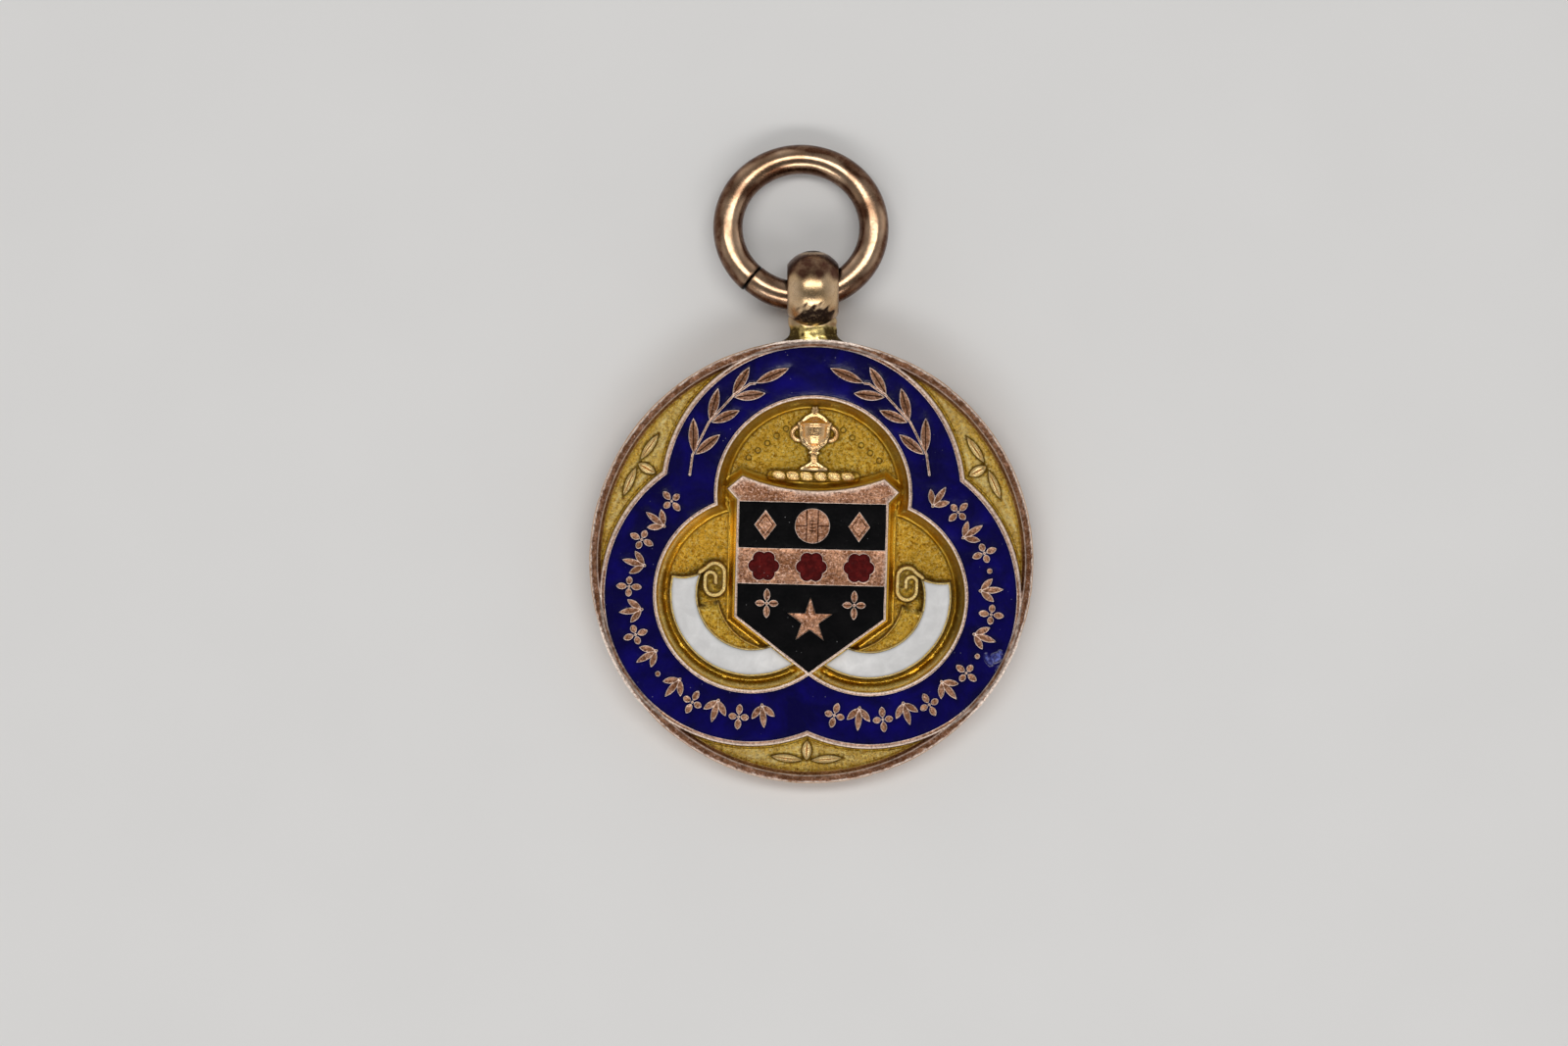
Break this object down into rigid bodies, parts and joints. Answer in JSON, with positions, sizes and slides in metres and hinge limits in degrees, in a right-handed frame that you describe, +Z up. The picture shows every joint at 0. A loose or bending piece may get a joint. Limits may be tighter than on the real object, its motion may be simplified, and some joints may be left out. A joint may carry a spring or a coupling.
{
  "type": "enamelled gold football medal with a jump ring",
  "caption": "Round gold fob medal with lobed blue enamel band, enamelled shield, ribbon scrolls and laurel sprigs, lying on its soldered loop and jump ring.",
  "frame": {"origin": "on the floor under the middle of the whole medal, as it lies face up", "axes": "+Y from the disc to the loop and the ring, +Z up out of the face, +X to the right of the face"},
  "size_m": [0.028, 0.0404, 0.0049],
  "materials": {
    "gold": "satin",
    "rose_gold": "polished",
    "blue_enamel": "gloss",
    "black_enamel": "gloss",
    "red_enamel": "gloss",
    "white_enamel": "gloss"
  },
  "bodies": {
    "root": {"medal_body": "gold", "jump_ring": "rose_gold", "blue_enamel": "blue_enamel", "black_enamel_upper": "black_enamel", "black_enamel_lower": "black_enamel", "red_enamel_left": "red_enamel", "red_enamel_middle": "red_enamel", "red_enamel_right": "red_enamel", "white_enamel_left": "white_enamel", "white_enamel_right": "white_enamel"}
  },
  "joints": []
}
